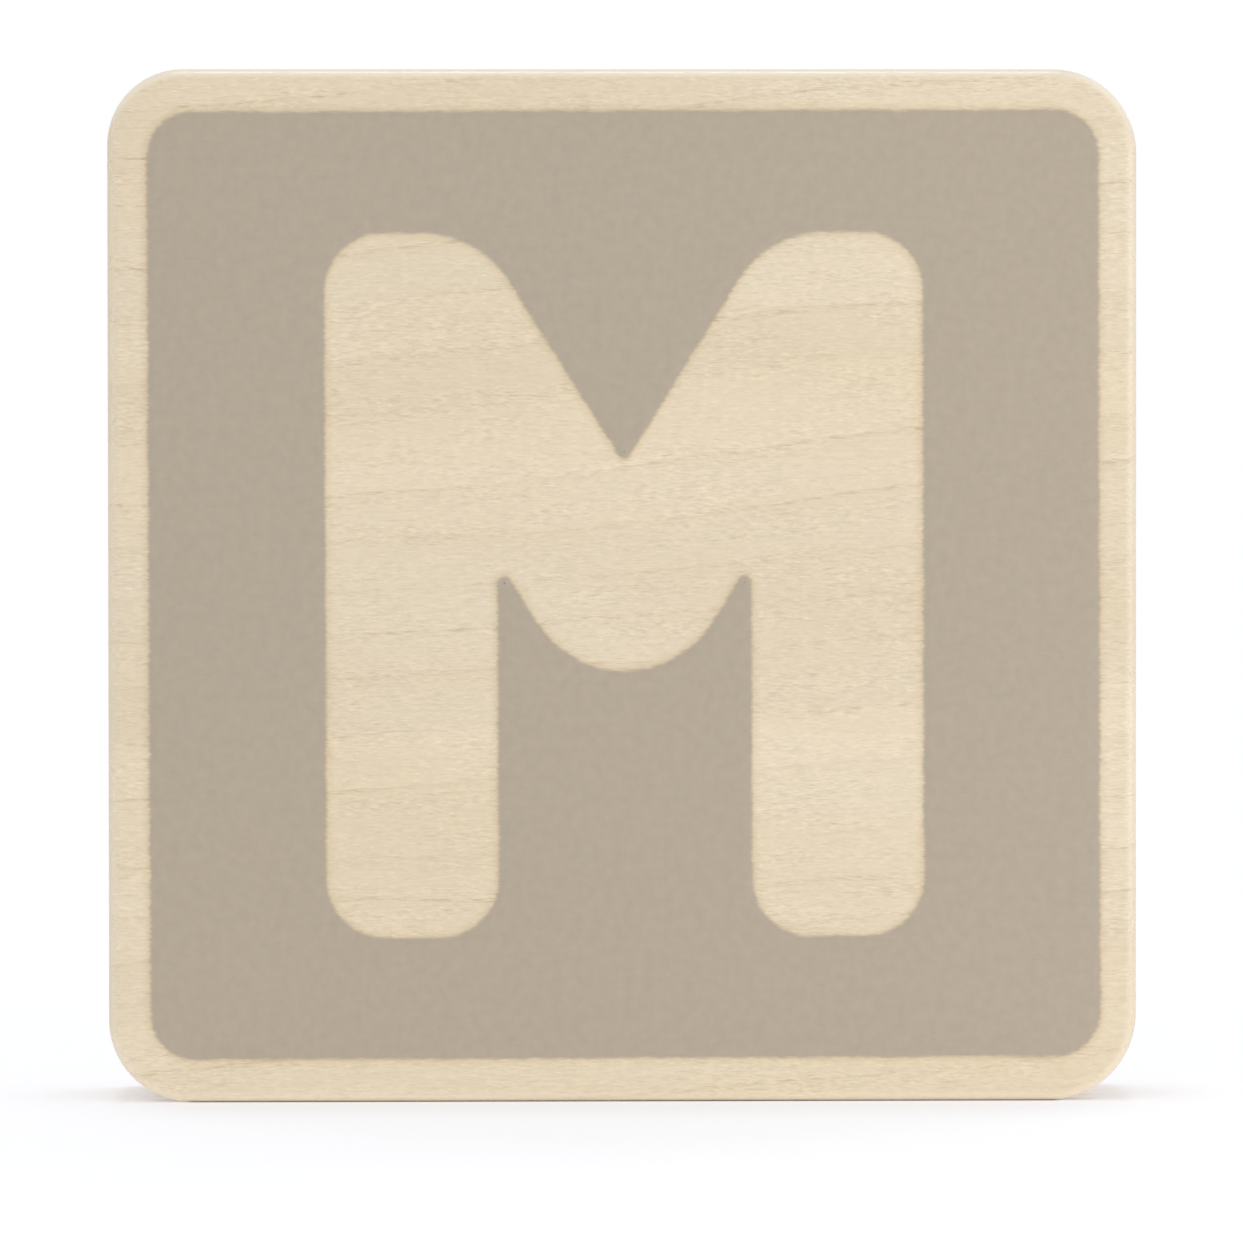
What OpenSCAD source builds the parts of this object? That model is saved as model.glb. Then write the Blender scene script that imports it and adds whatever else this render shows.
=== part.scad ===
// Letter tile of a toy name train, standing on its lower edge.
// A nearly square piece of cross-laminated birch plywood with softened corners carries one printed panel
// on its front, which leaves a border and a plain capital letter bare.
// Millimetres. +Z is up, the front faces -Y, and the origin lies under the middle of the tile,
// on the surface that it stands on.

/* [Tile] */
// Width of the tile
tile_w = 60; // [56:1:66]
// Height of the tile
tile_h = 60.2; // [56:0.1:66]
// Thickness of the finished plywood
tile_t = 12; // [9:0.5:15]
// Corner radii seen from the front: top left, top right, bottom right, bottom left
corner_radii = [4.4, 4.9, 5.1, 4.8]; // [2:0.1:8]
// Rounding sanded onto the edges of both faces
arris_r = 0.7; // [0.3:0.1:0.8]

/* [Plywood] */
// Number of plies, odd so that the grain of both faces runs the same way
ply_count = 9; // [5:2:11]
// Thickness of a face veneer after sanding
face_veneer_t = 1; // [0.9:0.1:1.2]

/* [Print] */
// Bare border beside the printed panel, and above and below it
print_border = [2.3, 2.5]; // [1.5:0.1:4]
// Corner radius of the printed panel
print_corner_r = 2.6; // [1:0.1:5]
// Thickness of the ink film
ink_t = 0.08; // [0.06:0.01:0.15]
// Sideways and upward registration error of the print
print_shift = [0.1, 0.05]; // [-0.5:0.05:0.5]
// Angle by which the print is out of true, in degrees anticlockwise
print_turn = 0.15; // [-0.5:0.05:0.5]

/* [Letter] */
// Height of the letter
letter_h = 41; // [38:0.5:46]
// Width of the letter
letter_w = 34.8; // [33:0.2:38]
// Width of each upright stroke
stem_w = 10; // [8:0.5:11]
// Depth of the notch between the shoulders
notch_depth = 13.5; // [11:0.5:14]
// Slope of the two diagonal strokes in degrees
stroke_slope = 58; // [56:1:62]
// Height of the rounded middle above the feet
belly_h = 15.5; // [12:0.5:17]
// Radius of the rounded middle
belly_r = 6; // [3:0.5:7]
// Radius between each shoulder and its diagonal
shoulder_r = 6; // [3:0.5:7]
// Radius of the outer shoulders and of the feet
stroke_end_r = 3.4; // [1:0.1:3.8]

/* [Hidden] */
$fn = 96;
middle_z = tile_h / 2;
front_y = -tile_t / 2;
core_ply_t = (tile_t - 2 * face_veneer_t) / (ply_count - 2);
last_ply = ply_count - 1;
crossbands = [1 : 2 : last_ply - 1];
long_grain_plies = [2 : 2 : last_ply - 2];
print_size = [tile_w, tile_h] - 2 * print_border;
// How far a corner cutter reaches past the corner that it rounds
cutter_reach = 1;
// Straight pieces in each rounding of the letter
arc_steps = 12;
face_wood = "#e3d4bc";
long_grain_wood = "#ddcaac";
crossband_wood = "#c9b08a";
taupe_ink = "#b6a999";

// The feet stand on the line y = 0, and the letter is the same on both sides of x = 0.
stem_outer_x = letter_w / 2;
stem_inner_x = stem_outer_x - stem_w;
shoulder_x = notch_depth / tan(stroke_slope);
belly_tip_y = belly_h - belly_r * (1 / cos(stroke_slope) - 1);
cusp_y = belly_tip_y + stem_inner_x * tan(stroke_slope);
// Each corner is [x, y, radius], from the left foot up over the shoulders and back along the underside.
letter_corners = [
    [-stem_outer_x, 0, stroke_end_r],
    [-stem_outer_x, letter_h, stroke_end_r],
    [-shoulder_x, letter_h, shoulder_r],
    [0, letter_h - notch_depth, 0],
    [shoulder_x, letter_h, shoulder_r],
    [stem_outer_x, letter_h, stroke_end_r],
    [stem_outer_x, 0, stroke_end_r],
    [stem_inner_x, 0, stroke_end_r],
    [stem_inner_x, cusp_y, 0],
    [0, belly_tip_y, belly_r],
    [-stem_inner_x, cusp_y, 0],
    [-stem_inner_x, 0, stroke_end_r]
];

function crossband_name(i) = str("crossband_ply_", i + 1);
function long_grain_name(i) = str("long_grain_ply_", i + 1);
function core_ply_back(i) = front_y + face_veneer_t + i * core_ply_t;
function unit(v) = v / norm(v);
// Half of a size, with its sides exchanged at each quarter turn.
function turned_half(size, turn) = turn % 2 == 0 ? size / 2 : [size.y, size.x] / 2;
function spot(corner) = [corner.x, corner.y];

// Points along the rounding of radius r at corner b, between its neighbours a and c, or b itself if r is 0.
function corner_arc(a, b, c, r) =
    let (
        to_a = unit(a - b),
        to_c = unit(c - b),
        half_angle = acos(to_a * to_c) / 2,
        centre = b + unit(to_a + to_c) * r / sin(half_angle),
        first = b + to_a * r / tan(half_angle) - centre,
        start = atan2(first.y, first.x),
        sweep = sign(cross(to_c, to_a)) * (180 - 2 * half_angle)
    )
    r == 0 ? [b] : [
        for (k = [0 : arc_steps])
            let (angle = start + sweep * k / arc_steps)
                centre + r * [cos(angle), sin(angle)]
    ];

// Points of a closed outline whose corners are [x, y, radius].
function soft_outline(corners) =
    let (count = len(corners))
    [
        for (i = [0 : count - 1])
            each corner_arc(
                spot(corners[(i + count - 1) % count]),
                spot(corners[i]),
                spot(corners[(i + 1) % count]),
                corners[i].z
            )
    ];

// Stands a flat shape upright, with its underside at depth back_y and its thickness towards the front.
module stand_up(back_y) {
    translate([0, back_y, middle_z])
        rotate([90, 0, 0])
            children();
}

// What a rounding of radius r takes off the top left corner of a rectangle, which lies at the origin.
module corner_cutter(r) {
    difference() {
        translate([-cutter_reach, -r])
            square(r + cutter_reach);
        translate([r, -r])
            circle(r);
    }
}

// Rectangle about the origin with its corners rounded, in the order of corner_radii.
module soft_rectangle(size, radii) {
    difference() {
        square(size, center = true);
        for (i = [0 : 3]) {
            half = turned_half(size, i);
            rotate(-90 * i)
                translate([-half.x, half.y])
                    corner_cutter(radii[i]);
        }
    }
}

// Outline of the tile, drawn in by inset all round.
module tile_outline(inset = 0) {
    soft_rectangle([tile_w, tile_h] - 2 * [inset, inset], [for (r = corner_radii) r - inset]);
}

// Section of the sanded edge.
module quarter_disc() {
    intersection() {
        circle(arris_r);
        square(arris_r);
    }
}

// Quarter-round rim that follows the outline, from its flat underside up.
module arris_rim() {
    for (i = [0 : 3]) {
        r = corner_radii[i];
        next_r = corner_radii[(i + 1) % 4];
        half = turned_half([tile_w, tile_h], i);
        rotate(-90 * i) {
            translate([r - half.x, half.y - r, 0])
                rotate(90)
                    rotate_extrude(angle = 90)
                        translate([r - arris_r, 0])
                            quarter_disc();
            translate([r - half.x, half.y - arris_r, 0])
                rotate([90, 0, 90])
                    linear_extrude(2 * half.x - r - next_r)
                        quarter_disc();
        }
    }
}

// Outer ply, flat underneath and with its upper edge rounded.
module face_veneer() {
    shank_t = face_veneer_t - arris_r;
    linear_extrude(shank_t)
        tile_outline();
    translate([0, 0, shank_t]) {
        linear_extrude(arris_r)
            tile_outline(arris_r);
        arris_rim();
    }
}

module core_ply(i) {
    stand_up(core_ply_back(i))
        linear_extrude(core_ply_t)
            tile_outline();
}

module front_face_veneer() {
    color(face_wood)
        stand_up(front_y + face_veneer_t)
            face_veneer();
}

module back_face_veneer() {
    color(face_wood)
        mirror([0, 1, 0])
            stand_up(front_y + face_veneer_t)
                face_veneer();
}

// Ply whose grain runs up the tile.
module crossband_ply(i) {
    color(crossband_wood)
        core_ply(i);
}

// Ply whose grain runs across the tile, like that of the faces.
module long_grain_ply(i) {
    color(long_grain_wood)
        core_ply(i);
}

// Ink film with the letter left open.
module front_print() {
    color(taupe_ink)
        stand_up(front_y)
            linear_extrude(ink_t)
                translate(print_shift)
                    rotate(print_turn)
                        difference() {
                            soft_rectangle(print_size, [for (i = [0 : 3]) print_corner_r]);
                            translate([0, -letter_h / 2])
                                polygon(soft_outline(letter_corners));
                        }
}

front_face_veneer();
for (i = crossbands)
    crossband_ply(i);
for (i = long_grain_plies)
    long_grain_ply(i);
back_face_veneer();
front_print();
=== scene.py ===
"""Looks of a wooden letter tile: birch plies, a printed front panel, and the studio that it stands in."""
import logging
import math
from collections.abc import Mapping, Sequence
from dataclasses import dataclass, field, replace
from enum import Enum
from functools import partial, reduce
from typing import ClassVar

import bpy
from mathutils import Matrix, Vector


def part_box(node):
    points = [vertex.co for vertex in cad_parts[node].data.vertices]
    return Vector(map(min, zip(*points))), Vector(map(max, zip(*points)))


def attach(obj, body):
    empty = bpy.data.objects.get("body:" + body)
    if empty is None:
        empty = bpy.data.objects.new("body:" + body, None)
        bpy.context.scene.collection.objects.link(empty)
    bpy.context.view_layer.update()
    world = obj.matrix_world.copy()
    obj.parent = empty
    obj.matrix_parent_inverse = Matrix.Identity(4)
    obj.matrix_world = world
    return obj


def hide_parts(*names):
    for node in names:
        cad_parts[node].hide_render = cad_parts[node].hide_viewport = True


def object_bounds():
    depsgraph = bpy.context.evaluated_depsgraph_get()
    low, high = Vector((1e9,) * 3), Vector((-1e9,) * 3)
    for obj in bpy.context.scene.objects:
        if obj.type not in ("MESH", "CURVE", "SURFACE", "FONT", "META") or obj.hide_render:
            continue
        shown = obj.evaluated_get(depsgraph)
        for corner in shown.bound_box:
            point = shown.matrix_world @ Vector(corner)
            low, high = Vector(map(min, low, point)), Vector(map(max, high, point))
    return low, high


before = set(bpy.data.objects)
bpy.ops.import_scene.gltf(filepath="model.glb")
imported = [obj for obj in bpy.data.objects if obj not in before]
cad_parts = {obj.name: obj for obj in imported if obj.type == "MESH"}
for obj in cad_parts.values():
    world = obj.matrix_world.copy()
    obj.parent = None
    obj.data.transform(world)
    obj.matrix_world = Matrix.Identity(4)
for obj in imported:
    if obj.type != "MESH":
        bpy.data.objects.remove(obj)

CAD_BOX = [list(corner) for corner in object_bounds()]
ROOT_BODY = "root"
MM = 0.001
PER_MM = 1000.0
# The display curve of 8-bit colours: a straight toe, and then a power curve.
FULL_CHANNEL = 255
TOE_END = 0.04045
TOE_SLOPE = 12.92
CURVE_OFFSET = 0.055
CURVE_POWER = 2.4

VALUE = "NodeSocketFloat"
WHOLE = "NodeSocketInt"
COLOUR = "NodeSocketColor"
VECTOR = "NodeSocketVector"
SHAPE = "NodeSocketGeometry"
FINISH = "NodeSocketMaterial"

Socket = bpy.types.NodeSocket
Node = bpy.types.Node
Tree = bpy.types.NodeTree
Material = bpy.types.Material
Feed = float | int | bool | str | Sequence[float] | Socket | Material
Feeds = Mapping[str | int, Feed]
log = logging.getLogger("letter_tile")


class Grain(Enum):
    """Direction in which a ply's fibres run."""

    ACROSS = "X"
    UP = "Z"


class EdgeShape(Enum):
    """How the edge of a sheet falls from its face to its back."""

    ROUNDED = "a quarter round and then straight down"
    FEATHERED = "a gentle slope that thins out"


@dataclass(frozen=True)
class Tone:
    """A colour as 8-bit display values."""

    red: float
    green: float
    blue: float

    def shaded(self, share: float) -> "Tone":
        """Return the colour made lighter or darker by a share."""
        return Tone(self.red * share, self.green * share, self.blue * share)

    def linear(self) -> tuple[float, float, float, float]:
        """Work out the colour in the linear values that shaders take.

        Returns:
            Red, green, blue and full alpha.
        """
        straight = []
        for channel in (self.red, self.green, self.blue):
            share = channel / FULL_CHANNEL
            curved = ((share + CURVE_OFFSET) / (1.0 + CURVE_OFFSET)) ** CURVE_POWER
            straight.append(share / TOE_SLOPE if share <= TOE_END else curved)
        return (*straight, 1.0)


@dataclass(frozen=True)
class Noise:
    """Smooth noise: its waves per millimetre along each axis, and how many finer layers lie on it."""

    x: float
    y: float
    z: float
    layers: float = 1.0


@dataclass(frozen=True)
class Band:
    """The stretch of values over which a smooth step rises."""

    low: float
    high: float


class Graph:
    """Adds nodes to one tree and links them, so that a tree reads as a list of steps."""

    def __init__(self, tree: Tree) -> None:
        """Keep the shader or geometry tree that the steps go into."""
        self.tree = tree

    def feed(self, socket: Socket, value: Feed) -> None:
        """Link a socket to another socket, or set it to a constant.

        Args:
            socket: Input socket to fill.
            value: Output socket or constant.
        """
        if isinstance(value, Socket):
            self.tree.links.new(value, socket)
        else:
            socket.default_value = value

    def add(self, kind: str, feeds: Feeds | None = None, **settings: object) -> Node:
        """Add one node.

        Args:
            kind: Blender's name for the node type.
            feeds: What goes into its inputs, by name or number.
            **settings: The node's own properties.

        Returns:
            The new node.
        """
        node = self.tree.nodes.new(kind)
        for name, value in settings.items():
            setattr(node, name, value)
        for key, value in (feeds or {}).items():
            self.feed(node.inputs[key], value)
        return node

    def out(self, kind: str, feeds: Feeds | None = None, **settings: object) -> Socket:
        """Add one node and return its first output that is in use."""
        node = self.add(kind, feeds, **settings)
        return next(socket for socket in node.outputs if socket.enabled)

    def math(self, operation: str, *values: Feed) -> Socket:
        """Return the result of one sum on numbers."""
        return self.out("ShaderNodeMath", dict(enumerate(values)), operation=operation)

    def times(self, *values: Feed) -> Feed:
        """Return the product of some numbers."""
        return reduce(partial(self.math, "MULTIPLY"), values)

    def total(self, *values: Feed) -> Feed:
        """Return the sum of some numbers."""
        return reduce(partial(self.math, "ADD"), values)

    def vector(self, operation: str, *values: Feed) -> Socket:
        """Return the result of one sum on vectors."""
        return self.out("ShaderNodeVectorMath", dict(enumerate(values)), operation=operation)

    def scaled(self, vector: Feed, factor: Feed) -> Socket:
        """Return a vector or colour times a number."""
        return self.out("ShaderNodeVectorMath", {0: vector, "Scale": factor}, operation="SCALE")

    def combine(self, x: Feed = 0.0, y: Feed = 0.0, z: Feed = 0.0) -> Socket:
        """Return a vector made of three numbers."""
        return self.out("ShaderNodeCombineXYZ", {0: x, 1: y, 2: z})

    def separate(self, vector: Feed) -> list[Socket]:
        """Return the three numbers of a vector."""
        return list(self.add("ShaderNodeSeparateXYZ", {0: vector}).outputs)

    def step(self, value: Feed, band: Band, start: Feed = 0.0, end: Feed = 1.0) -> Socket:
        """Return a smooth step.

        Args:
            value: Number that drives the step.
            band: Where the step begins and ends.
            start: Result below the band.
            end: Result above the band.

        Returns:
            The stepped number.
        """
        feeds = {0: value, 1: band.low, 2: band.high, 3: start, 4: end}
        return self.out("ShaderNodeMapRange", feeds, interpolation_type="SMOOTHSTEP")

    def noise(self, place: Feed, noise: Noise) -> Socket:
        """Return smooth noise from 0 to 1.

        Args:
            place: Position in millimetres.
            noise: How fine the noise is.

        Returns:
            The noise value.
        """
        stretched = self.vector("MULTIPLY", place, (noise.x, noise.y, noise.z))
        return self.out("ShaderNodeTexNoise", {"Vector": stretched, "Scale": 1.0, "Detail": noise.layers})

    def swing(self, place: Feed, noise: Noise, reach: Feed = 1.0) -> Socket:
        """Return noise that swings evenly about zero by about half of reach."""
        return self.math("MULTIPLY", self.math("SUBTRACT", self.noise(place, noise), 0.5), reach)

    def mix(self, share: Feed, first: Feed, second: Feed, blend: str = "MIX") -> Socket:
        """Return a blend of two colours.

        Args:
            share: How much of the second colour shows.
            first: First colour.
            second: Second colour.
            blend: Blender's name for the way of blending.

        Returns:
            The blended colour.
        """
        feeds = {0: share, 6: first, 7: second}
        return self.add("ShaderNodeMix", feeds, data_type="RGBA", blend_type=blend).outputs[2]

    def normal(self) -> Socket:
        """Return the direction that the shaded surface faces."""
        return self.add("ShaderNodeNewGeometry").outputs["Normal"]

    def place_in_mm(self) -> Socket:
        """Return the shaded point's place on the object, in millimetres."""
        return self.scaled(self.add("ShaderNodeTexCoord").outputs["Object"], PER_MM)


class SharedGroup:
    """A shader node group that several finishes place."""

    group_name: str
    inputs: Mapping[str, str]
    outputs: Mapping[str, str]

    def place(self, graph: Graph, feeds: Feeds) -> Node:
        """Place the group in a material, and build it on its first use.

        Args:
            graph: Material graph to add to.
            feeds: What goes into its named inputs.

        Returns:
            The group node.
        """
        tree = bpy.data.node_groups.get(self.group_name) or self.build()
        return graph.add("ShaderNodeGroup", feeds, node_tree=tree)

    def build(self) -> Tree:
        """Build the group with its named sockets.

        Returns:
            The new group.
        """
        tree = bpy.data.node_groups.new(self.group_name, "ShaderNodeTree")
        for side, sockets in (("INPUT", self.inputs), ("OUTPUT", self.outputs)):
            for label, kind in sockets.items():
                tree.interface.new_socket(label, in_out=side, socket_type=kind)
        graph = Graph(tree)
        given = graph.add("NodeGroupInput").outputs
        results = self.results(graph, {label: given[label] for label in self.inputs})
        graph.add("NodeGroupOutput", results)
        return tree

    def results(self, graph: Graph, given: Mapping[str, Socket]) -> Mapping[str, Socket]:
        """Work out the group's outputs from its inputs, both by name."""
        raise NotImplementedError


@dataclass(frozen=True)
class BirchFigure(SharedGroup):
    """Figure of peeled birch, in millimetres with x along the grain and y through the sheet.

    Growth rings cross the sheet at a slant, and fine fibres, vessels and soft zones run along it.
    """

    group_name = "Birch Figure"
    inputs = {"Position": VECTOR, "Ring Pitch": VALUE, "Ring Slope": VALUE, "Ring Strength": VALUE,
              "Vessel Strength": VALUE, "Fibre Strength": VALUE,
              "Pale": COLOUR, "Tan": COLOUR, "Dark": COLOUR}
    outputs = {"Color": COLOUR, "Height": VALUE, "Pores": VALUE}

    sway: Noise = Noise(0.011, 0.12, 0.045)
    sway_reach: float = 7.0
    wave: Noise = Noise(0.06, 0.4, 0.2, 2.0)
    wave_reach: float = 1.6
    jitter: Noise = Noise(0.8, 2.0, 1.6, 2.0)
    jitter_reach: float = 0.3
    fibre_wave: float = 0.5
    uneven: Noise = Noise(0.8, 1.0, 1.0)
    uneven_reach: float = 0.7
    ring_tone: float = 0.06
    late_power: float = 6.0
    late_share: float = 0.5
    line_rise: Band = Band(0.9, 0.95)
    line_fall: Band = Band(0.97, 1.0)
    presence: Noise = Noise(0.05, 0.5, 0.35)
    presence_band: Band = Band(0.4, 0.64)
    least_presence: float = 0.32
    strand: Noise = Noise(1.0, 7.0, 10.0)
    strand_band: Band = Band(0.46, 0.62)
    cluster: Noise = Noise(0.14, 0.6, 0.9, 2.0)
    cluster_band: Band = Band(0.36, 0.66)
    least_cluster: float = 0.45
    vessel: Noise = Noise(0.9, 7.0, 10.5)
    vessel_band: Band = Band(0.57, 0.72)
    fleck: Noise = Noise(1.5, 8.0, 9.0)
    fleck_band: Band = Band(0.6, 0.76)
    fleck_share: float = 0.3
    fibre: Noise = Noise(2.2, 8.5, 9.5)
    long_fibre: Noise = Noise(0.25, 4.0, 6.0, 2.0)
    long_fibre_share: float = 0.3
    zone: Noise = Noise(0.02, 0.1, 0.1, 2.0)
    zone_band: Band = Band(0.3, 0.7)
    zone_share: float = 0.45
    fibre_relief: float = 0.7
    vessel_relief: float = -0.8
    line_relief: float = -0.4

    def results(self, graph: Graph, given: Mapping[str, Socket]) -> Mapping[str, Socket]:
        """Work out the wood's colour, its relief and its pores.

        Args:
            graph: The group's graph.
            given: Its inputs.

        Returns:
            Its outputs.
        """
        place = given["Position"]
        x, y, z = graph.separate(place)
        wave = graph.swing(place, self.wave, self.wave_reach)
        jitter = graph.swing(place, self.jitter, self.jitter_reach)
        bend = graph.total(wave, jitter)
        sway = graph.swing(place, self.sway, self.sway_reach)
        slant = graph.math("SUBTRACT", z, graph.times(x, given["Ring Slope"]))
        level = graph.total(slant, sway, bend)
        ring = graph.math("DIVIDE", level, given["Ring Pitch"])
        uneven = graph.swing(graph.combine(ring), self.uneven, self.uneven_reach)
        count = graph.total(ring, uneven)
        phase = graph.math("FRACT", count)
        tone = graph.out("ShaderNodeTexWhiteNoise", {"W": graph.math("FLOOR", count)}, noise_dimensions="1D")
        along = graph.combine(x, y, graph.total(z, graph.times(bend, self.fibre_wave)))
        in_ring = graph.combine(x, y, level)

        line = self.ring_line(graph, in_ring, along, phase)
        cluster = graph.step(graph.noise(in_ring, self.cluster), self.cluster_band, self.least_cluster)
        vessels = graph.times(graph.step(graph.noise(along, self.vessel), self.vessel_band), cluster)
        flecks = graph.step(graph.noise(along, self.fleck), self.fleck_band)
        long_fibres = graph.swing(along, self.long_fibre, self.long_fibre_share)
        fibres = graph.total(graph.times(graph.swing(along, self.fibre), cluster), long_fibres)
        zones = graph.step(graph.noise(place, self.zone), self.zone_band)
        late = graph.math("POWER", phase, self.late_power)

        colour = graph.mix(graph.times(zones, self.zone_share), given["Pale"], given["Tan"])
        late_wood = graph.times(late, given["Ring Strength"], self.late_share)
        colour = graph.mix(late_wood, colour, given["Tan"])
        colour = graph.mix(graph.times(line, given["Ring Strength"]), colour, given["Dark"])
        colour = graph.mix(graph.times(vessels, given["Vessel Strength"]), colour, given["Dark"])
        shimmer = graph.total(fibres, graph.times(flecks, self.fleck_share))
        shimmer = graph.math("MULTIPLY_ADD", shimmer, given["Fibre Strength"], 1.0 - self.ring_tone / 2)
        shimmer = graph.math("MULTIPLY_ADD", tone, self.ring_tone, shimmer)
        height = graph.total(graph.times(fibres, self.fibre_relief), graph.times(vessels, self.vessel_relief),
                             graph.times(line, self.line_relief))
        return {"Color": graph.scaled(colour, shimmer), "Height": height, "Pores": vessels}

    def ring_line(self, graph: Graph, in_ring: Socket, along: Socket, phase: Socket) -> Feed:
        """Draw the thin dark line at the end of each ring, broken into strands.

        Args:
            graph: The group's graph.
            in_ring: Position that follows the rings.
            along: Position that follows the fibres.
            phase: Share of the way through the ring.

        Returns:
            How much of the line shows.
        """
        rise = graph.step(phase, self.line_rise)
        fall = graph.step(phase, self.line_fall, 1.0, 0.0)
        presence = graph.step(graph.noise(in_ring, self.presence), self.presence_band, self.least_presence)
        strands = graph.step(graph.noise(along, self.strand), self.strand_band)
        return graph.times(rise, fall, presence, strands)


@dataclass(frozen=True)
class PlyEdge(SharedGroup):
    """Signs of a cut ply, in millimetres: darker end grain, and the glue next to its neighbours."""

    group_name = "Ply Edge"
    inputs = {"Position": VECTOR, "Grain Cosine": VALUE, "Front Glue": VALUE, "Back Glue": VALUE}
    outputs = {"End Grain": VALUE, "Glue": VALUE}

    glue_band: Band = Band(0.0, 0.075)
    wander: Noise = Noise(0.5, 0.0, 0.5, 3.0)
    wander_reach: float = 0.06
    patch: Noise = Noise(0.7, 0.0, 0.7, 2.0)
    patch_band: Band = Band(0.3, 0.6)
    least_patch: float = 0.45
    end_band: Band = Band(0.45, 0.95)

    def results(self, graph: Graph, given: Mapping[str, Socket]) -> Mapping[str, Socket]:
        """Work out where end grain and glue show.

        Args:
            graph: The group's graph.
            given: Its inputs.

        Returns:
            Its outputs.
        """
        place = given["Position"]
        depth = graph.total(graph.separate(place)[1], graph.swing(place, self.wander, self.wander_reach))
        front = graph.math("ABSOLUTE", graph.math("SUBTRACT", depth, given["Front Glue"]))
        back = graph.math("ABSOLUTE", graph.math("SUBTRACT", depth, given["Back Glue"]))
        glue = graph.step(graph.math("MINIMUM", front, back), self.glue_band, 1.0, 0.0)
        patchy = graph.step(graph.noise(place, self.patch), self.patch_band, self.least_patch)
        end_grain = graph.step(graph.math("ABSOLUTE", given["Grain Cosine"]), self.end_band)
        return {"End Grain": end_grain, "Glue": graph.times(glue, patchy)}


def new_material(name: str, specular: float) -> tuple[Material, Graph, Node]:
    """Start a material with one Principled shader.

    Args:
        name: Name of the material.
        specular: How strongly it mirrors light.

    Returns:
        The material, its graph and its shader node.
    """
    material = bpy.data.materials.new(name)
    material.use_nodes = True
    material.node_tree.nodes.clear()
    graph = Graph(material.node_tree)
    shader = graph.add("ShaderNodeBsdfPrincipled", {"Specular IOR Level": specular})
    graph.add("ShaderNodeOutputMaterial", {"Surface": shader.outputs[0]})
    return material, graph, shader


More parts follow.
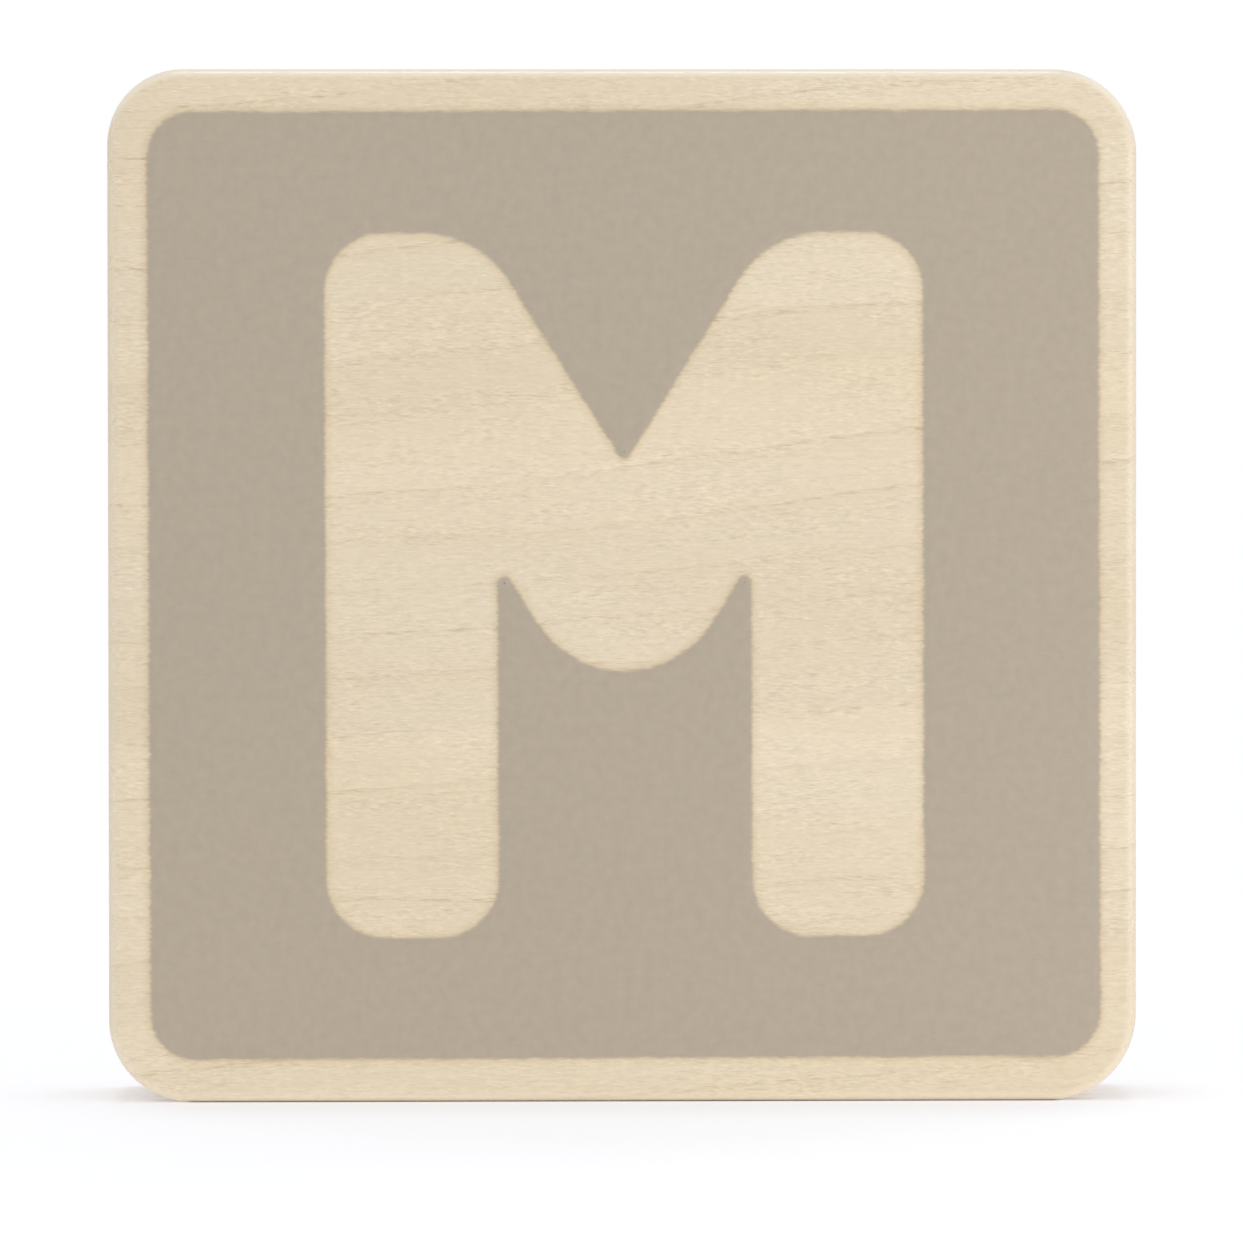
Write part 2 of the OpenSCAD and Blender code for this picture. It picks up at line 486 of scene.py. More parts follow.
@dataclass(frozen=True)
class BirchFinish:
    """Sanded birch under a thin matt lacquer, smoother where the arris was sanded; the arris is also painted
    paler, partly for the sanding and partly as a painted highlight that is strongest where it faces up.
    """

    name: str
    grain: Grain
    shift: tuple[float, float, float]
    front_glue: float
    back_glue: float
    pale: Tone = Tone(223, 208, 181)
    tan: Tone = Tone(214, 195, 162)
    dark: Tone = Tone(172, 142, 105)
    end_tint: Tone = Tone(230, 216, 196)
    end_pores: float = 0.6
    glue_brown: Tone = Tone(112, 82, 58)
    glue_share: float = 0.8
    glue_relief: float = -1.2
    # Painted highlight: the pale tone laid on the arris, partly a paler sanded arris and partly light from
    # above painted into the colour.
    sanding_and_highlight: Tone = Tone(240, 229, 209)
    sanding_and_highlight_rise: Band = Band(0.02, 0.5)
    sanding_and_highlight_fall: Band = Band(0.85, 1.0)
    # Painted highlight: the arris takes more of the pale tone where it faces up, towards the light above.
    highlight_facing_up: Band = Band(0.0, 0.5)
    sanding_and_highlight_most: float = 0.8
    sanding_and_highlight_least: float = 0.28
    sanded_roughness: float = -0.2
    ring_pitch: float = 3.2
    ring_slope: float = 0.085
    ring_strength: float = 0.36
    vessel_strength: float = 0.22
    fibre_strength: float = 0.37
    roughness: float = 0.42
    pore_roughness: float = 0.14
    end_roughness: float = 0.1
    specular: float = 0.5
    relief: float = 0.018 * MM
    relief_strength: float = 0.6
    figure: BirchFigure = field(default_factory=BirchFigure)
    edge: PlyEdge = field(default_factory=PlyEdge)

    def figure_node(self, graph: Graph) -> Node:
        """Place the figure group with this finish's values.

        Args:
            graph: Material graph to add to.

        Returns:
            The group node.
        """
        turn = (0.0, math.pi / 2, 0.0) if self.grain is Grain.UP else (0.0, 0.0, 0.0)
        feeds = {"Vector": graph.place_in_mm(), "Location": self.shift, "Rotation": turn}
        return self.figure.place(graph, {
            "Position": graph.out("ShaderNodeMapping", feeds),
            "Ring Pitch": self.ring_pitch,
            "Ring Slope": self.ring_slope,
            "Ring Strength": self.ring_strength,
            "Vessel Strength": self.vessel_strength,
            "Fibre Strength": self.fibre_strength,
            "Pale": self.pale.linear(),
            "Tan": self.tan.linear(),
            "Dark": self.dark.linear(),
        })

    def edge_node(self, graph: Graph) -> Node:
        """Place the ply edge group with this finish's values.

        Args:
            graph: Material graph to add to.

        Returns:
            The group node.
        """
        return self.edge.place(graph, {
            "Position": graph.place_in_mm(),
            "Grain Cosine": graph.separate(graph.normal())["XYZ".index(self.grain.value)],
            "Front Glue": self.front_glue,
            "Back Glue": self.back_glue,
        })

    def sanding_and_highlight_share(self, graph: Graph) -> Feed:
        """Work out how much pale colour goes on the arris: some for the sanding, and most where it faces up,
        which is a painted highlight.

        Args:
            graph: Material graph to add to.

        Returns:
            The share of pale colour, for sanding and painted highlight.
        """
        edge = graph.add("ShaderNodeAttribute", attribute_name=SheetTree.EDGE_ATTRIBUTE).outputs["Fac"]
        up = graph.separate(graph.normal())[2]
        reach = graph.step(up, self.highlight_facing_up, self.sanding_and_highlight_least, self.sanding_and_highlight_most)
        rise = graph.step(edge, self.sanding_and_highlight_rise)
        fall = graph.step(edge, self.sanding_and_highlight_fall, 1.0, 0.0)
        return graph.times(rise, fall, reach)

    def material(self) -> Material:
        """Build the finish.

        Returns:
            The new material.
        """
        material, graph, shader = new_material(self.name, self.specular)
        figure = self.figure_node(graph).outputs
        edge = self.edge_node(graph).outputs
        tinted = graph.mix(1.0, figure["Color"], self.end_tint.linear(), "MULTIPLY")
        pored = graph.mix(graph.times(figure["Pores"], self.end_pores), tinted, self.glue_brown.linear())
        colour = graph.mix(edge["End Grain"], figure["Color"], pored)
        sanding_and_highlight = self.sanding_and_highlight_share(graph)
        # Painted highlight: mix the arris towards the pale tone, most where it faces up.
        colour = graph.mix(sanding_and_highlight, colour, self.sanding_and_highlight.linear())
        colour = graph.mix(graph.times(edge["Glue"], self.glue_share), colour, self.glue_brown.linear())
        graph.feed(shader.inputs["Base Color"], colour)
        rough = graph.total(graph.times(figure["Pores"], self.pore_roughness),
                            graph.times(edge["End Grain"], self.end_roughness),
                            graph.times(sanding_and_highlight, self.sanded_roughness), self.roughness)
        graph.feed(shader.inputs["Roughness"], rough)
        height = graph.total(figure["Height"], graph.times(edge["Glue"], self.glue_relief))
        bump = {"Strength": self.relief_strength, "Distance": self.relief, "Height": height}
        graph.feed(shader.inputs["Normal"], graph.out("ShaderNodeBump", bump))
        return material


@dataclass(frozen=True)
class InkFinish:
    """Matt printing ink that lets a little of the grain through and thins out over the fibres at its edge."""

    wood: BirchFinish
    name: str = "Taupe Ink"
    taupe: Tone = Tone(175, 162, 144)
    bleed: Noise = Noise(1.1, 1.0, 4.5, 2.0)
    bleed_reach: float = 0.34
    cover_band: Band = Band(0.34, 0.66)
    film_band: Band = Band(0.0, 0.15)
    stain: Tone = Tone(247, 244, 238)
    stain_band: Band = Band(0.5, 1.0)
    mottle: Noise = Noise(1.7, 1.0, 1.5, 2.0)
    mottle_reach: float = 0.15
    cloud: Noise = Noise(0.05, 1.0, 0.09, 2.0)
    cloud_reach: float = 0.02
    grain_share: float = 0.02
    roughness: float = 0.68
    speckle: Noise = Noise(4.0, 4.0, 4.5, 2.0)
    speckle_reach: float = 0.12
    peel: Noise = Noise(2.2, 1.0, 2.6, 2.0)
    specular: float = 0.25
    relief: float = 0.012 * MM
    relief_strength: float = 0.4

    def material(self) -> Material:
        """Build the finish, which reads the sheet's own edge attribute: 0 on the face, 1 where the ink ends.

        Returns:
            The new material.
        """
        material, graph, shader = new_material(self.name, self.specular)
        figure = self.wood.figure_node(graph).outputs
        place = graph.place_in_mm()
        edge = graph.add("ShaderNodeAttribute", attribute_name=SheetTree.EDGE_ATTRIBUTE).outputs["Fac"]
        frayed = graph.total(edge, graph.swing(place, self.bleed, self.bleed_reach))
        thinned = graph.step(frayed, self.cover_band)
        bare = graph.times(thinned, graph.step(edge, self.film_band))

        grain = graph.times(figure["Height"], self.grain_share)
        shade = graph.total(graph.swing(place, self.mottle, self.mottle_reach),
                            graph.swing(place, self.cloud, self.cloud_reach), grain, 1.0)
        ink = graph.scaled(self.taupe.linear()[:3], shade)
        soaked = graph.mix(1.0, figure["Color"], self.stain.linear(), "MULTIPLY")
        wood = graph.mix(graph.step(edge, self.stain_band), soaked, figure["Color"])
        graph.feed(shader.inputs["Base Color"], graph.mix(bare, ink, wood))
        speckle = graph.swing(place, self.speckle, self.speckle_reach)
        graph.feed(shader.inputs["Roughness"], graph.total(speckle, self.roughness))
        height = graph.total(graph.noise(place, self.peel), figure["Height"])
        bump = {"Strength": self.relief_strength, "Distance": self.relief, "Height": height}
        graph.feed(shader.inputs["Normal"], graph.out("ShaderNodeBump", bump))
        return material


@dataclass(frozen=True)
class FloorFinish:
    """White studio paper that glows a little, like a lit table, but not under the tile, and the glow fades in
    only just past its foot, which paints a dark crease where the tile stands. Millimetres.

    Round the foot it bounces more light than the camera sees, as a card beside the tile would.
    """

    foot: tuple[float, float, float]
    name: str = "Studio Paper"
    white: Tone = Tone(235, 235, 235)
    glow: float = 0.26
    glow_tint: Tone = Tone(239, 243, 254)
    painted_crease_band: Band = Band(0.0, 0.8)
    bounce: float = 0.62
    bounce_fade: Band = Band(12.0, 38.0)
    roughness: float = 0.8
    specular: float = 0.1

    def material(self) -> Material:
        """Build the finish.

        Returns:
            The new material.
        """
        material, graph, shader = new_material(self.name, self.specular)
        past_foot = graph.vector("SUBTRACT", graph.vector("ABSOLUTE", graph.place_in_mm()), self.foot)
        outside = graph.vector("MAXIMUM", past_foot, (0.0, 0.0, 0.0))
        distance = graph.out("ShaderNodeVectorMath", {0: outside}, operation="LENGTH")
        unseen = graph.math("SUBTRACT", 1.0, graph.add("ShaderNodeLightPath").outputs["Is Camera Ray"])
        bounce = graph.times(graph.step(distance, self.bounce_fade, self.bounce, 0.0), unseen)
        # Painted shadow: the glow fades to nothing at the tile's foot, which draws a dark crease along the
        # contact.
        share = graph.times(graph.step(distance, self.painted_crease_band), graph.total(bounce, 1.0))
        graph.feed(shader.inputs["Emission Color"], graph.scaled(self.glow_tint.linear()[:3], share))
        shader.inputs["Base Color"].default_value = self.white.linear()
        shader.inputs["Emission Strength"].default_value = self.glow
        shader.inputs["Roughness"].default_value = self.roughness
        return material


@dataclass(frozen=True)
class Corner:
    """One corner of an outline in millimetres, with the radius that rounds it."""

    x: float
    y: float
    radius: float

    def moved(self, x: float, y: float) -> "Corner":
        """Return the corner moved sideways and up."""
        return Corner(self.x + x, self.y + y, self.radius)

    def turned(self, angle: float) -> "Corner":
        """Return the corner turned anticlockwise about the origin."""
        cosine, sine = math.cos(angle), math.sin(angle)
        return Corner(self.x * cosine - self.y * sine, self.x * sine + self.y * cosine, self.radius)


@dataclass
class SheetTree:
    """Geometry Nodes tree that turns corner outlines into a closed sheet with a shaped edge.

    The outlines lie in the x-y plane, with the sheet to the left of each, and the sheet rises along +z.
    """

    EDGE_ATTRIBUTE = "edge"
    INPUTS = {"Outlines": SHAPE, "Thickness": VALUE, "Edge Width": VALUE, "Point Spacing": VALUE,
              "Waver": VALUE, "Waver Per Millimetre": VALUE, "Edge Steps": WHOLE, "Corner Steps": WHOLE,
              "Seed": WHOLE, "Place": VECTOR, "Turn": VECTOR, "Material": FINISH}

    shape: EdgeShape
    waver_middle: float
    waver_layers: float = 3.0
    sharp_angle: float = math.radians(35)
    weld: float = 0.0005 * MM
    foot_rise: float = 0.004 * MM

    def build(self) -> Tree:
        """Build the tree.

        Returns:
            The new tree, with its sizes as named inputs.
        """
        tree = bpy.data.node_groups.new(f"Sheet With {self.shape.name.title()} Edge", "GeometryNodeTree")
        for label, kind in self.INPUTS.items():
            tree.interface.new_socket(label, in_out="INPUT", socket_type=kind)
        tree.interface.new_socket("Sheet", in_out="OUTPUT", socket_type=SHAPE)
        graph = Graph(tree)
        given = graph.add("NodeGroupInput").outputs

        loop = self.outline(graph, given)
        profile, foot = self.profile(graph, given)
        rim = graph.out("GeometryNodeCurveToMesh", {"Curve": loop, "Profile Curve": profile})
        rim = graph.out("GeometryNodeSetShadeSmooth", {"Geometry": rim, "Shade Smooth": True})
        inward = graph.math("MULTIPLY", given["Edge Width"], -1.0)
        face_cap = self.cap(graph, loop, inward, given["Thickness"], 0.0)
        back_cap = graph.out("GeometryNodeFlipFaces", {"Mesh": self.cap(graph, loop, foot, 0.0, 1.0)})
        joined = graph.add("GeometryNodeJoinGeometry")
        for part in (back_cap, face_cap, rim):
            tree.links.new(part, joined.inputs[0])
        seams = {"Geometry": joined.outputs[0], "Distance": self.weld}
        crisp = self.crisp(graph, graph.out("GeometryNodeMergeByDistance", seams))
        upright = {"Geometry": crisp, "Translation": given["Place"], "Rotation": given["Turn"]}
        placed = graph.out("GeometryNodeTransform", upright)
        real = graph.out("GeometryNodeRealizeInstances", {"Geometry": placed})
        done = graph.out("GeometryNodeSetMaterial", {"Geometry": real, "Material": given["Material"]})
        graph.add("NodeGroupOutput", {0: done})
        return tree

    def outline(self, graph: Graph, given: bpy.types.NodeOutputs) -> Socket:
        """Round the corners by each point's radius, space the points evenly and let the line waver a little.

        Args:
            graph: Tree to add to.
            given: The tree's inputs.

        Returns:
            The finished outlines.
        """
        radius = graph.add("GeometryNodeInputRadius").outputs[0]
        fillet = {"Curve": given["Outlines"], "Count": given["Corner Steps"], "Radius": radius,
                  "Limit Radius": True}
        loop = graph.out("GeometryNodeFilletCurve", fillet, mode="POLY")
        spacing = {"Curve": loop, "Length": given["Point Spacing"]}
        loop = graph.out("GeometryNodeResampleCurve", spacing, mode="LENGTH")
        loop = graph.out("GeometryNodeSetCurveNormal", {"Curve": loop}, mode="Z_UP")
        spot = graph.scaled(graph.add("GeometryNodeInputPosition").outputs[0], PER_MM)
        seeded = graph.vector("ADD", spot, graph.combine(0.0, 0.0, given["Seed"]))
        place = graph.scaled(seeded, given["Waver Per Millimetre"])
        ripple = graph.noise(place, Noise(1.0, 1.0, 1.0, self.waver_layers))
        push = graph.times(graph.math("SUBTRACT", ripple, self.waver_middle), given["Waver"])
        offset = graph.scaled(graph.add("GeometryNodeInputNormal").outputs[0], push)
        return graph.out("GeometryNodeSetPosition", {"Geometry": loop, "Offset": offset})

    def profile(self, graph: Graph, given: bpy.types.NodeOutputs) -> tuple[Socket, Feed]:
        """Draw the section of the edge from the face to the back, with its share of the way as an attribute.

        Args:
            graph: Tree to add to.
            given: The tree's inputs.

        Returns:
            The section as a curve, and how far its foot stands out from the outline.
        """
        steps, width, thickness = given["Edge Steps"], given["Edge Width"], given["Thickness"]
        line = graph.out("GeometryNodeCurvePrimitiveLine", {"End": (1.0, 0.0, 0.0)})
        points = {"Curve": line, "Count": graph.math("ADD", steps, 2.0)}
        line = graph.out("GeometryNodeResampleCurve", points, mode="COUNT")
        index = graph.add("GeometryNodeInputIndex").outputs[0]
        share = graph.math("MINIMUM", graph.math("DIVIDE", index, steps), 1.0)
        above_foot = graph.math("LESS_THAN", index, graph.math("ADD", steps, 0.5))
        if self.shape is EdgeShape.ROUNDED:
            angle = graph.times(share, math.pi / 2)
            out = graph.times(width, graph.math("SUBTRACT", graph.math("SINE", angle), 1.0))
            drop = graph.times(width, graph.math("SUBTRACT", 1.0, graph.math("COSINE", angle)))
            rise = graph.math("SUBTRACT", thickness, drop)
            foot = 0.0
        else:
            out = graph.times(width, graph.math("MULTIPLY_ADD", share, 2.0, -1.0))
            rise = graph.step(share, Band(0.0, 1.0), thickness, self.foot_rise)
            foot = width
        spot = graph.combine(out, graph.times(rise, above_foot, -1.0))
        line = graph.out("GeometryNodeSetPosition", {"Geometry": line, "Position": spot})
        return self.marked(graph, line, share), foot

    def cap(self, graph: Graph, loop: Socket, out: Feed, height: Feed, share: float) -> Socket:
        """Fill the outlines, moved out by a distance, as a flat cap.

        Args:
            graph: Tree to add to.
            loop: The outlines.
            out: How far the cap's border stands out from them.
            height: Height of the cap.
            share: Its value of the edge attribute.

        Returns:
            The cap, facing up.
        """
        offset = graph.scaled(graph.add("GeometryNodeInputNormal").outputs[0], out)
        border = graph.out("GeometryNodeSetPosition", {"Geometry": loop, "Offset": offset})
        filled = graph.out("GeometryNodeFillCurve", {"Curve": border}, mode="TRIANGLES")
        lift = {"Geometry": filled, "Offset": graph.combine(0.0, 0.0, height)}
        lifted = graph.out("GeometryNodeSetPosition", lift)
        flat = graph.out("GeometryNodeSetShadeSmooth", {"Geometry": lifted, "Shade Smooth": False})
        return self.marked(graph, flat, share)

    def marked(self, graph: Graph, geometry: Socket, share: Feed) -> Socket:
        """Store the share of the way from the face to the outer end on each point."""
        feeds = {"Geometry": geometry, "Name": self.EDGE_ATTRIBUTE, "Value": share}
        return graph.out("GeometryNodeStoreNamedAttribute", feeds, data_type="FLOAT", domain="POINT")

    def crisp(self, graph: Graph, geometry: Socket) -> Socket:
        """Mark the edges between flat faces and the rim as sharp.

        Args:
            graph: Tree to add to.
            geometry: Closed sheet.

        Returns:
            The sheet with its marks.
        """
        fold = graph.add("GeometryNodeInputMeshEdgeAngle").outputs["Unsigned Angle"]
        sharp = graph.out("FunctionNodeCompare", {0: fold, 1: self.sharp_angle}, operation="GREATER_THAN")
        feeds = {"Geometry": geometry, "Name": "sharp_edge", "Value": sharp}
        return graph.out("GeometryNodeStoreNamedAttribute", feeds, data_type="BOOLEAN", domain="EDGE")


def into_scene(name: str, data: bpy.types.ID) -> bpy.types.Object:
    """Make an object and link it into the scene.

    Args:
        name: Name of the object.
        data: Its mesh, curve, light or camera.

    Returns:
        The new object.
    """
    piece = bpy.data.objects.new(name, data)
    bpy.context.scene.collection.objects.link(piece)
    return piece


@dataclass
class Sheet:
    """A flat piece made by a sheet tree: outlines, edge and place, all in millimetres."""

    name: str
    outlines: list[list[Corner]]
    tree: Tree
    material: Material
    thickness: float
    edge_width: float
    back_depth: float
    centre_height: float
    faces_back: bool = False
    edge_steps: int = 8
    corner_steps: int = 24
    point_spacing: float = 0.3
    waver: float = 0.02
    waver_per_mm: float = 0.1
    seed: int = 1

    def curve(self) -> bpy.types.Object:
        """Draw the outlines as closed straight lines whose point radius is the corner's radius.

        Returns:
            The curve object, linked into the scene.
        """
        data = bpy.data.curves.new(f"{self.name}_outline", "CURVE")
        data.dimensions = "3D"
        for corners in self.outlines:
            spline = data.splines.new("POLY")
            spline.points.add(len(corners) - 1)
            spline.use_cyclic_u = True
            for point, corner in zip(spline.points, corners):
                point.co = (corner.x * MM, corner.y * MM, 0.0, 1.0)
                point.radius = corner.radius * MM
        return into_scene(f"{self.name}_outline", data)

    def build(self) -> bpy.types.Object:
        """Run the tree on the outlines and keep the result as a plain mesh.

        Returns:
            The finished piece, at the origin with its place in its mesh.
        """
        source = self.curve()
        modifier = source.modifiers.new("Sheet", "NODES")
        modifier.node_group = self.tree
        values = {
            "Thickness": self.thickness * MM,
            "Edge Width": self.edge_width * MM,
            "Point Spacing": self.point_spacing * MM,
            "Waver": self.waver * MM,
            "Waver Per Millimetre": self.waver_per_mm,
            "Edge Steps": self.edge_steps,
            "Corner Steps": self.corner_steps,
            "Seed": self.seed,
            "Place": (0.0, self.back_depth * MM, self.centre_height * MM),
            "Turn": (math.pi / 2, 0.0, math.pi if self.faces_back else 0.0),
            "Material": self.material,
        }
        for socket in self.tree.interface.items_tree:
            if socket.in_out == "INPUT" and socket.name in values:
                modifier[socket.identifier] = values[socket.name]
        evaluated = source.evaluated_get(bpy.context.evaluated_depsgraph_get())
        mesh = bpy.data.meshes.new_from_object(evaluated)
        mesh.name = self.name
        source.modifiers.remove(modifier)
        bpy.data.objects.remove(source)
        return into_scene(self.name, mesh)


def box_in_mm(node: str) -> tuple[Vector, Vector]:
    """Return the low and high corners of a CAD node in millimetres."""
    low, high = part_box(node)
    return low * PER_MM, high * PER_MM


@dataclass
class Plywood:
    """The plies: two sanded face veneers and the core plies between them. Millimetres."""

    corner_radii: tuple[float, float, float, float] = (4.4, 4.9, 5.1, 4.8)
    arris: float = 0.7
    no_glue: float = 1000.0
    veneer_end_tint: Tone = Tone(250, 249, 247)
    veneer_end_pores: float = 0.1
    shade_reach: float = 0.05
    shade_step: float = 0.618
    stretch: tuple[float, float, float] = (37.0, 11.0, 23.0)
    first_stretch: int = 5

    @staticmethod
    def plies() -> list[str]:
        """Return the CAD nodes of the plies, from the front to the back."""
        nodes = [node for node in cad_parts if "ply" in node or "veneer" in node]
        return sorted(nodes, key=lambda node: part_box(node)[0].y)

    def finish(self, index: int) -> BirchFinish:
        """Choose the finish of one ply.

        Args:
            index: Its number from the front, which moves it to another stretch of the peeled log.

        Returns:
            The ply's finish.
        """
        node = self.plies()[index]
        low, high = box_in_mm(node)
        grain = Grain.UP if node.startswith("crossband") else Grain.ACROSS
        shift = tuple(part * (index + self.first_stretch) for part in self.stretch)
        front_glue = -self.no_glue if node.startswith("front") else low.y
        back_glue = self.no_glue if node.startswith("back") else high.y
        finish = BirchFinish(f"Birch {node}", grain, shift, front_glue, back_glue)
        if "veneer" in node:
            return replace(finish, end_tint=self.veneer_end_tint, end_pores=self.veneer_end_pores)
        shade = 1.0 - self.shade_reach * (index * self.shade_step % 1.0)
        return replace(finish, pale=finish.pale.shaded(shade), tan=finish.tan.shaded(shade))

    def outline(self, half_width: float, half_height: float, mirrored: bool) -> list[Corner]:
        """Draw the tile's outline anticlockwise about its middle.

        Args:
            half_width: Half of the tile's width.
            half_height: Half of its height.
            mirrored: Whether it is seen from the back.

        Returns:
            Its four corners.
        """
        top_left, top_right, low_right, low_left = self.corner_radii
        if mirrored:
            top_left, top_right, low_right, low_left = top_right, top_left, low_left, low_right
        return [Corner(half_width, half_height, top_right), Corner(-half_width, half_height, top_left),
                Corner(-half_width, -half_height, low_left), Corner(half_width, -half_height, low_right)]

    def build(self, tree: Tree) -> None:
        """Make the face veneers as sheets and dress the core plies.

        Args:
            tree: Sheet tree with a rounded edge.
        """
        for index, node in enumerate(self.plies()):
            finish = self.finish(index)
            if "veneer" in node:
                self.veneer(node, tree, finish.material(), index)
            else:
                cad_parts[node].material_slots[0].material = finish.material()
            log.info("%s dressed with %s", node, finish.name)

    def veneer(self, node: str, tree: Tree, material: Material, seed: int) -> None:
        """Make one face veneer in place of its CAD node.

        Args:
            node: CAD node that it replaces.
            tree: Sheet tree with a rounded edge.
            material: Its finish.
            seed: Seed of its sanded edge.
        """
        low, high = box_in_mm(node)
        half = (high - low) / 2
        at_back = node.startswith("back")
        piece = Sheet(
            name=f"{node}_sheet",
            outlines=[self.outline(half.x, half.z, at_back)],
            tree=tree,
            material=material,
            thickness=high.y - low.y,
            edge_width=self.arris,
            back_depth=low.y if at_back else high.y,
            centre_height=low.z + half.z,
            faces_back=at_back,
            seed=seed,
        ).build()
        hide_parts(node)
        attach(piece, ROOT_BODY)


@dataclass
class PrintedPanel:
    """Ink film on the front, open where the plain capital letter stays bare.

    Millimetres from the panel's middle.
    """

    width: float = 55.4
    height: float = 55.2
    corner_radius: float = 2.6
    turn: float = math.radians(0.15)
    letter_height: float = 41.0
    letter_width: float = 34.8
    stem_width: float = 10.0
    notch_depth: float = 13.5
    stroke_slope: float = math.radians(58)
    belly_height: float = 15.5
    belly_radius: float = 6.0
    shoulder_radius: float = 6.0
    stroke_end_radius: float = 3.4
    crotch_radius: float = 0.4
    feather: float = 0.45
    corner_steps: int = 16
    point_spacing: float = 0.15
    waver: float = 0.16
    waver_per_mm: float = 0.45
    seed: int = 5

    def panel_outline(self) -> list[Corner]:
        """Return the panel's corners, anticlockwise."""
        x, y = self.width / 2, self.height / 2
        return [Corner(a * x, b * y, self.corner_radius) for a, b in ((1, 1), (-1, 1), (-1, -1), (1, -1))]

    def letter_outline(self) -> list[Corner]:
        """Work out the letter's corners, clockwise, so that the ink lies to their left.

        Returns:
            The corners, from the middle of the underside over the left half and back over the right.
        """
        outer = self.letter_width / 2
        inner = outer - self.stem_width
        rise = math.tan(self.stroke_slope)
        shoulder = self.notch_depth / rise
        tip = self.belly_height - self.belly_radius * (1 / math.cos(self.stroke_slope) - 1)
        left = [
            Corner(0.0, tip, self.belly_radius),
            Corner(-inner, tip + inner * rise, self.crotch_radius),
            Corner(-inner, 0.0, self.stroke_end_radius),
            Corner(-outer, 0.0, self.stroke_end_radius),
            Corner(-outer, self.letter_height, self.stroke_end_radius),
            Corner(-shoulder, self.letter_height, self.shoulder_radius),
            Corner(0.0, self.letter_height - self.notch_depth, self.crotch_radius),
        ]
        right = [Corner(-corner.x, corner.y, corner.radius) for corner in left[-2:0:-1]]
        return [corner.moved(0.0, -self.letter_height / 2) for corner in left + right]

    def build(self, tree: Tree, ink: InkFinish) -> None:
        """Make the film in place of its CAD node.

        Args:
            tree: Sheet tree with a feathered edge.
            ink: Finish of the film.
        """
        low, high = box_in_mm("front_print")
        middle = (low + high) / 2
        outlines = [
            [corner.turned(self.turn).moved(middle.x, 0.0) for corner in corners]
            for corners in (self.panel_outline(), self.letter_outline())
        ]
        piece = Sheet(
            name="front_print_film",
            outlines=outlines,
            tree=tree,
            material=ink.material(),
            thickness=high.y - low.y,
            edge_width=self.feather,
            back_depth=high.y,
            centre_height=middle.z,
            corner_steps=self.corner_steps,
            point_spacing=self.point_spacing,
            waver=self.waver,
            waver_per_mm=self.waver_per_mm,
            seed=self.seed,
        ).build()
        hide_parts("front_print")
        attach(piece, ROOT_BODY)
        log.info("front_print_film has %d faces", len(piece.data.polygons))


@dataclass(frozen=True)
class Photograph:
    """Where the tile's front face lies in the square picture, in its pixels, and the camera that took it.

    The camera stands a little to the left of the tile and above its middle. Millimetres and degrees.
    """

    frame_px: float = 1243.0
    left_px: float = 107.7
    right_px: float = 1138.0
    foot_px: float = 1102.7
    azimuth: float = -0.9
    elevation: float = 1.0
    roll: float = 0.05
    lens: float = 200.0
    sensor: float = 36.0


@dataclass(frozen=True)
class BroadLight:
    """A distant soft light: its place as seen from the tile and its width, in degrees, and its strength."""

    name: str
    azimuth: float
    elevation: float
    spread: float
    wall_light: float
    tint: Tone = Tone(255, 255, 255)


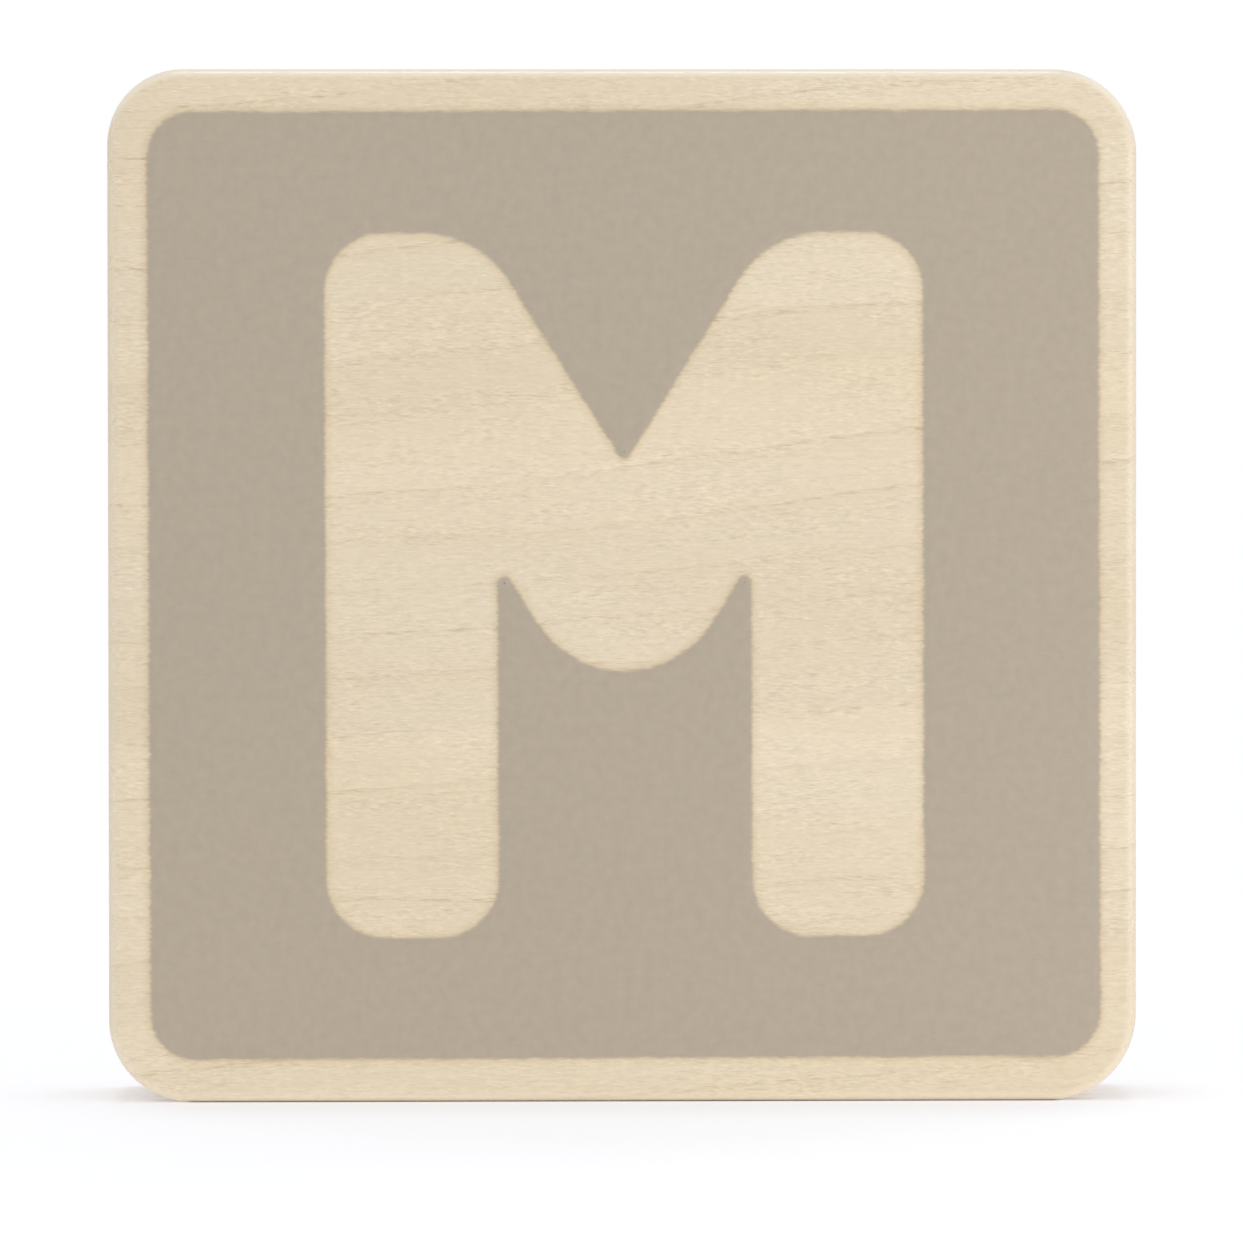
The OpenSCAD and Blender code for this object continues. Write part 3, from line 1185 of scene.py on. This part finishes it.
@dataclass
class Studio:
    """White floor, soft light and the camera. Azimuths run from the front towards the right."""

    photograph: Photograph = field(default_factory=Photograph)
    foot_inset: tuple[float, float, float] = (5.0, 0.7, 0.0)
    floor_reach: float = 60.0
    sky: float = 0.17
    cool: ClassVar[Tone] = Tone(242, 245, 255)
    lights: tuple[BroadLight, ...] = (
        BroadLight("Key", azimuth=20.0, elevation=50.0, spread=120.0, wall_light=0.175),
        BroadLight("Front", azimuth=0.0, elevation=15.0, spread=90.0, wall_light=0.242),
        BroadLight("Left", azimuth=-60.0, elevation=40.0, spread=90.0, wall_light=0.157),
        BroadLight("Overhead", azimuth=180.0, elevation=87.0, spread=18.0, wall_light=0.15),
        BroadLight("Back", azimuth=180.0, elevation=25.0, spread=90.0, wall_light=0.365, tint=cool),
        BroadLight("Far Left", azimuth=-100.0, elevation=25.0, spread=90.0, wall_light=0.162, tint=cool),
        BroadLight("Far Right", azimuth=100.0, elevation=25.0, spread=90.0, wall_light=0.213, tint=cool),
    )
    softbox_place: tuple[float, float, float] = (0.17, -0.12, 0.03)
    softbox_width: float = 0.12
    softbox_power: float = 0.11

    def build(self) -> None:
        """Set up everything round the tile."""
        self.lay_floor()
        self.light_sky()
        for light in self.lights:
            self.hang_light(light)
        self.place_softbox()
        self.place_camera()
        bpy.context.scene.view_settings.view_transform = "Standard"
        log.info("studio set up")

    def lay_floor(self) -> None:
        """Lay a plain floor at the height that the tile stands on."""
        reach = self.floor_reach
        mesh = bpy.data.meshes.new("floor")
        corners = [(-reach, -reach, 0.0), (reach, -reach, 0.0), (reach, reach, 0.0), (-reach, reach, 0.0)]
        mesh.from_pydata(corners, [], [(0, 1, 2, 3)])
        foot = Vector(CAD_BOX[1]) * PER_MM - Vector(self.foot_inset)
        mesh.materials.append(FloorFinish(foot=(foot.x, foot.y, 0.0)).material())
        floor = into_scene("floor", mesh)

    def light_sky(self) -> None:
        """Light everything evenly from a white sky, which the camera sees as plain white."""
        world = bpy.data.worlds.new("White Sky")
        world.use_nodes = True
        world.node_tree.nodes.clear()
        graph = Graph(world.node_tree)
        white = (1.0, 1.0, 1.0, 1.0)
        dim = graph.out("ShaderNodeBackground", {"Color": white, "Strength": self.sky})
        full = graph.out("ShaderNodeBackground", {"Color": white, "Strength": 1.0})
        seen = graph.add("ShaderNodeLightPath").outputs["Is Camera Ray"]
        sky = graph.out("ShaderNodeMixShader", {0: seen, 1: dim, 2: full})
        graph.add("ShaderNodeOutputWorld", {"Surface": sky})
        bpy.context.scene.world = world

    @staticmethod
    def hang_light(light: BroadLight) -> None:
        """Hang one broad light that shines the same all over the floor.

        Args:
            light: Where it stands and how strong it is.
        """
        data = bpy.data.lights.new(light.name, "SUN")
        data.energy = light.wall_light * math.pi
        data.angle = math.radians(light.spread)
        data.color = light.tint.linear()[:3]
        lamp = into_scene(light.name, data)
        lamp.rotation_euler = (math.radians(90.0 - light.elevation), 0.0, math.radians(light.azimuth))

    def place_softbox(self) -> None:
        """Place a small square light close by on the right, which brightens the face towards that side."""
        data = bpy.data.lights.new("Softbox", "AREA")
        data.size = self.softbox_width
        data.energy = self.softbox_power
        lamp = into_scene("Softbox", data)
        lamp.location = self.softbox_place
        middle = (Vector(CAD_BOX[0]) + Vector(CAD_BOX[1])) / 2
        lamp.rotation_euler = (lamp.location - middle).to_track_quat("Z", "Y").to_euler()
        lamp.visible_camera = False

    def place_camera(self) -> None:
        """Place the camera so that the tile's front fills the same part of the frame as in the photograph."""
        shot = self.photograph
        low, high = CAD_BOX
        metres_per_px = (high[0] - low[0]) / (shot.right_px - shot.left_px)
        middle_px = shot.frame_px / 2
        sideways = (middle_px - (shot.left_px + shot.right_px) / 2) * metres_per_px
        target = Vector((sideways, low[1], (shot.foot_px - middle_px) * metres_per_px))
        azimuth, elevation = math.radians(shot.azimuth), math.radians(shot.elevation)
        level = math.cos(elevation)
        away = Vector((math.sin(azimuth) * level, -math.cos(azimuth) * level, math.sin(elevation)))
        data = bpy.data.cameras.new("Camera")
        data.lens = shot.lens
        data.sensor_width = shot.sensor
        camera = into_scene("Camera", data)
        camera.location = target + away * (shot.frame_px * metres_per_px * shot.lens / shot.sensor)
        camera.rotation_euler = (math.pi / 2 - elevation, math.radians(shot.roll), azimuth)
        bpy.context.scene.camera = camera


def main() -> None:
    """Build the plies, the print and the studio."""
    logging.basicConfig(level=logging.INFO, format="%(name)s: %(message)s")
    plywood = Plywood()
    plywood.build(SheetTree(EdgeShape.ROUNDED, waver_middle=1.0).build())
    front_wood = plywood.finish(0)
    PrintedPanel().build(SheetTree(EdgeShape.FEATHERED, waver_middle=0.5).build(), InkFinish(front_wood))
    Studio().build()


if __name__ == "__main__":
    main()
